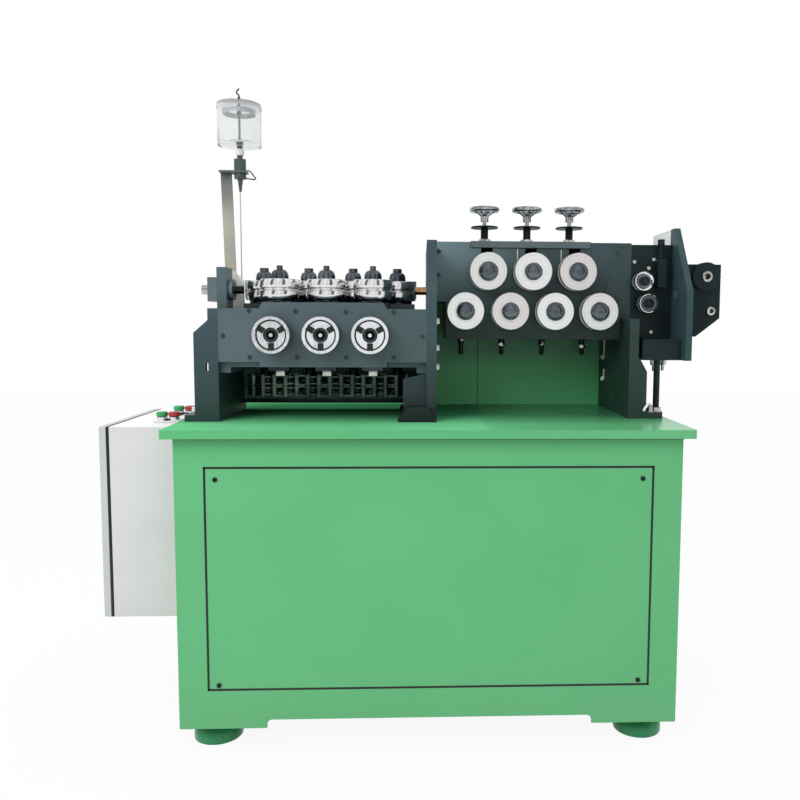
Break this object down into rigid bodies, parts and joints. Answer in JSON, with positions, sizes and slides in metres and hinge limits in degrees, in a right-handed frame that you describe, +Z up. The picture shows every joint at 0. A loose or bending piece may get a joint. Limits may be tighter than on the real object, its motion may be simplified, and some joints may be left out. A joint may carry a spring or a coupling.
{
  "type": "pipe straightening machine",
  "caption": "Pipe straightening machine: a cabinet base carries one head of upright grooved rolls and one head of level rolls, with adjusting handwheels and an oiler.",
  "frame": {"origin": "middle of the outline at floor level", "axes": "+X along the pipe from inlet to outlet, +Y away from the operator, +Z up"},
  "size_m": [1.571, 0.7, 1.569],
  "materials": {
    "green_paint": "glossy enamel",
    "grey_box_paint": "fine textured powder coat",
    "button_plastic": "moulded",
    "head_paint": "satin enamel",
    "dark_steel": "blackened",
    "chain_steel": "oiled",
    "ground_steel": "ground and polished",
    "chrome": "polished",
    "guide_paint": "satin enamel",
    "brass": "turned",
    "bracket_paint": "satin",
    "clear_plastic": "clear acrylic"
  },
  "bodies": {
    "frame": {"table_top": "green_paint", "base_front": "green_paint", "base_sides": "green_paint", "base_rear": "green_paint", "base_floor": "green_paint", "front_panel": "green_paint", "levelling_feet": "green_paint", "drive_cover": "green_paint", "push_buttons": "button_plastic", "left_stand": "head_paint", "middle_stand": "head_paint", "right_stand": "head_paint", "left_front_plate": "head_paint", "left_bed": "head_paint", "roll_plate": "head_paint", "back_plate": "head_paint", "slide_bar": "head_paint", "drive_chain": "chain_steel", "entry_guide": "guide_paint", "transfer_tube": "brass", "oiler_bracket": "bracket_paint", "oil_cup": "clear_plastic", "electrical_box": "grey_box_paint", "rear_bearing_bar": "dark_steel", "drive_sprockets": "dark_steel", "lower_spindles": "dark_steel", "lower_screws": "dark_steel", "exit_plate": "dark_steel", "exit_block": "dark_steel", "exit_bracket": "dark_steel", "oil_valve": "dark_steel"},
    "box_door": {"electrical_door": "grey_box_paint"},
    "front_slide_1": {"front_slide_1": "dark_steel"},
    "front_roll_1": {"front_roll_1": "ground_steel"},
    "front_knob_1": {"front_knob_1": "chrome"},
    "top_slide_1": {"top_slide_1": "dark_steel"},
    "top_roll_1": {"top_roll_1": "ground_steel"},
    "handwheel_1": {"handwheel_1": "chrome"},
    "front_slide_2": {"front_slide_2": "dark_steel"},
    "front_roll_2": {"front_roll_2": "ground_steel"},
    "front_knob_2": {"front_knob_2": "chrome"},
    "top_slide_2": {"top_slide_2": "dark_steel"},
    "top_roll_2": {"top_roll_2": "ground_steel"},
    "handwheel_2": {"handwheel_2": "chrome"},
    "front_slide_3": {"front_slide_3": "dark_steel"},
    "front_roll_3": {"front_roll_3": "ground_steel"},
    "front_knob_3": {"front_knob_3": "chrome"},
    "top_slide_3": {"top_slide_3": "dark_steel"},
    "top_roll_3": {"top_roll_3": "ground_steel"},
    "handwheel_3": {"handwheel_3": "chrome"},
    "rear_roll_1": {"rear_roll_1": "ground_steel"},
    "lower_roll_1": {"lower_roll_1": "ground_steel"},
    "rear_roll_2": {"rear_roll_2": "ground_steel"},
    "lower_roll_2": {"lower_roll_2": "ground_steel"},
    "rear_roll_3": {"rear_roll_3": "ground_steel"},
    "lower_roll_3": {"lower_roll_3": "ground_steel"},
    "rear_roll_4": {"rear_roll_4": "ground_steel"},
    "lower_roll_4": {"lower_roll_4": "ground_steel"},
    "exit_roller_upper": {"exit_roller_upper": "ground_steel"},
    "exit_roller_lower": {"exit_roller_lower": "ground_steel"}
  },
  "joints": [
    {"name": "box_door_swing", "type": "hinge", "parent": "frame", "child": "box_door", "pos_m": [-0.7685, 0.256, 0.496], "axis": [0, 0, -1], "range_deg": [0, 110]},
    {"name": "front_slide_1_feed", "type": "slide", "parent": "frame", "child": "front_slide_1", "axis": [0, 1, 0], "range_m": [-0.01, 0.008]},
    {"name": "front_roll_1_spin", "type": "hinge", "parent": "front_slide_1", "child": "front_roll_1", "pos_m": [-0.3435, -0.125, 1.073], "axis": [0, 0, 1], "continuous": true},
    {"name": "front_knob_1_turn", "type": "hinge", "parent": "front_slide_1", "child": "front_knob_1", "pos_m": [-0.3435, -0.235, 0.963], "axis": [0, 1, 0], "range_deg": [-900, 720]},
    {"name": "top_slide_1_lift", "type": "slide", "parent": "frame", "child": "top_slide_1", "axis": [0, 0, 1], "range_m": [-0.01, 0.01]},
    {"name": "top_roll_1_spin", "type": "hinge", "parent": "top_slide_1", "child": "top_roll_1", "pos_m": [0.1725, -0.075, 1.123], "axis": [0, 1, 0], "continuous": true},
    {"name": "handwheel_1_turn", "type": "hinge", "parent": "top_slide_1", "child": "handwheel_1", "pos_m": [0.1725, 0.0399, 1.294], "axis": [0, 0, 1], "range_deg": [-900, 900]},
    {"name": "front_slide_2_feed", "type": "slide", "parent": "frame", "child": "front_slide_2", "axis": [0, 1, 0], "range_m": [-0.01, 0.008]},
    {"name": "front_roll_2_spin", "type": "hinge", "parent": "front_slide_2", "child": "front_roll_2", "pos_m": [-0.2295, -0.125, 1.073], "axis": [0, 0, 1], "continuous": true},
    {"name": "front_knob_2_turn", "type": "hinge", "parent": "front_slide_2", "child": "front_knob_2", "pos_m": [-0.2295, -0.235, 0.963], "axis": [0, 1, 0], "range_deg": [-900, 720]},
    {"name": "top_slide_2_lift", "type": "slide", "parent": "frame", "child": "top_slide_2", "axis": [0, 0, 1], "range_m": [-0.01, 0.01]},
    {"name": "top_roll_2_spin", "type": "hinge", "parent": "top_slide_2", "child": "top_roll_2", "pos_m": [0.2865, -0.075, 1.123], "axis": [0, 1, 0], "continuous": true},
    {"name": "handwheel_2_turn", "type": "hinge", "parent": "top_slide_2", "child": "handwheel_2", "pos_m": [0.2865, 0.0399, 1.294], "axis": [0, 0, 1], "range_deg": [-900, 900]},
    {"name": "front_slide_3_feed", "type": "slide", "parent": "frame", "child": "front_slide_3", "axis": [0, 1, 0], "range_m": [-0.01, 0.008]},
    {"name": "front_roll_3_spin", "type": "hinge", "parent": "front_slide_3", "child": "front_roll_3", "pos_m": [-0.1155, -0.125, 1.073], "axis": [0, 0, 1], "continuous": true},
    {"name": "front_knob_3_turn", "type": "hinge", "parent": "front_slide_3", "child": "front_knob_3", "pos_m": [-0.1155, -0.235, 0.963], "axis": [0, 1, 0], "range_deg": [-900, 720]},
    {"name": "top_slide_3_lift", "type": "slide", "parent": "frame", "child": "top_slide_3", "axis": [0, 0, 1], "range_m": [-0.01, 0.01]},
    {"name": "top_roll_3_spin", "type": "hinge", "parent": "top_slide_3", "child": "top_roll_3", "pos_m": [0.4005, -0.075, 1.123], "axis": [0, 1, 0], "continuous": true},
    {"name": "handwheel_3_turn", "type": "hinge", "parent": "top_slide_3", "child": "handwheel_3", "pos_m": [0.4005, 0.0399, 1.294], "axis": [0, 0, 1], "range_deg": [-900, 900]},
    {"name": "rear_roll_1_spin", "type": "hinge", "parent": "frame", "child": "rear_roll_1", "pos_m": [-0.4005, -0.025, 1.073], "axis": [0, 0, 1], "continuous": true},
    {"name": "lower_roll_1_spin", "type": "hinge", "parent": "frame", "child": "lower_roll_1", "pos_m": [0.1155, -0.075, 1.023], "axis": [0, 1, 0], "continuous": true},
    {"name": "rear_roll_2_spin", "type": "hinge", "parent": "frame", "child": "rear_roll_2", "pos_m": [-0.2865, -0.025, 1.073], "axis": [0, 0, 1], "continuous": true},
    {"name": "lower_roll_2_spin", "type": "hinge", "parent": "frame", "child": "lower_roll_2", "pos_m": [0.2295, -0.075, 1.023], "axis": [0, 1, 0], "continuous": true},
    {"name": "rear_roll_3_spin", "type": "hinge", "parent": "frame", "child": "rear_roll_3", "pos_m": [-0.1725, -0.025, 1.073], "axis": [0, 0, 1], "continuous": true},
    {"name": "lower_roll_3_spin", "type": "hinge", "parent": "frame", "child": "lower_roll_3", "pos_m": [0.3435, -0.075, 1.023], "axis": [0, 1, 0], "continuous": true},
    {"name": "rear_roll_4_spin", "type": "hinge", "parent": "frame", "child": "rear_roll_4", "pos_m": [-0.0585, -0.025, 1.073], "axis": [0, 0, 1], "continuous": true},
    {"name": "lower_roll_4_spin", "type": "hinge", "parent": "frame", "child": "lower_roll_4", "pos_m": [0.4575, -0.075, 1.023], "axis": [0, 1, 0], "continuous": true},
    {"name": "exit_roller_upper_spin", "type": "hinge", "parent": "frame", "child": "exit_roller_upper", "pos_m": [0.5695, -0.075, 1.101], "axis": [0, 1, 0], "continuous": true},
    {"name": "exit_roller_lower_spin", "type": "hinge", "parent": "frame", "child": "exit_roller_lower", "pos_m": [0.5825, -0.075, 1.045], "axis": [0, 1, 0], "continuous": true}
  ],
  "couplings": [
    {"joint": "front_knob_1_turn", "follows": "front_slide_1_feed", "rad_per_m": 1570.8},
    {"joint": "handwheel_1_turn", "follows": "top_slide_1_lift", "rad_per_m": 1570.8},
    {"joint": "front_knob_2_turn", "follows": "front_slide_2_feed", "rad_per_m": 1570.8},
    {"joint": "handwheel_2_turn", "follows": "top_slide_2_lift", "rad_per_m": 1570.8},
    {"joint": "front_knob_3_turn", "follows": "front_slide_3_feed", "rad_per_m": 1570.8},
    {"joint": "handwheel_3_turn", "follows": "top_slide_3_lift", "rad_per_m": 1570.8}
  ]
}
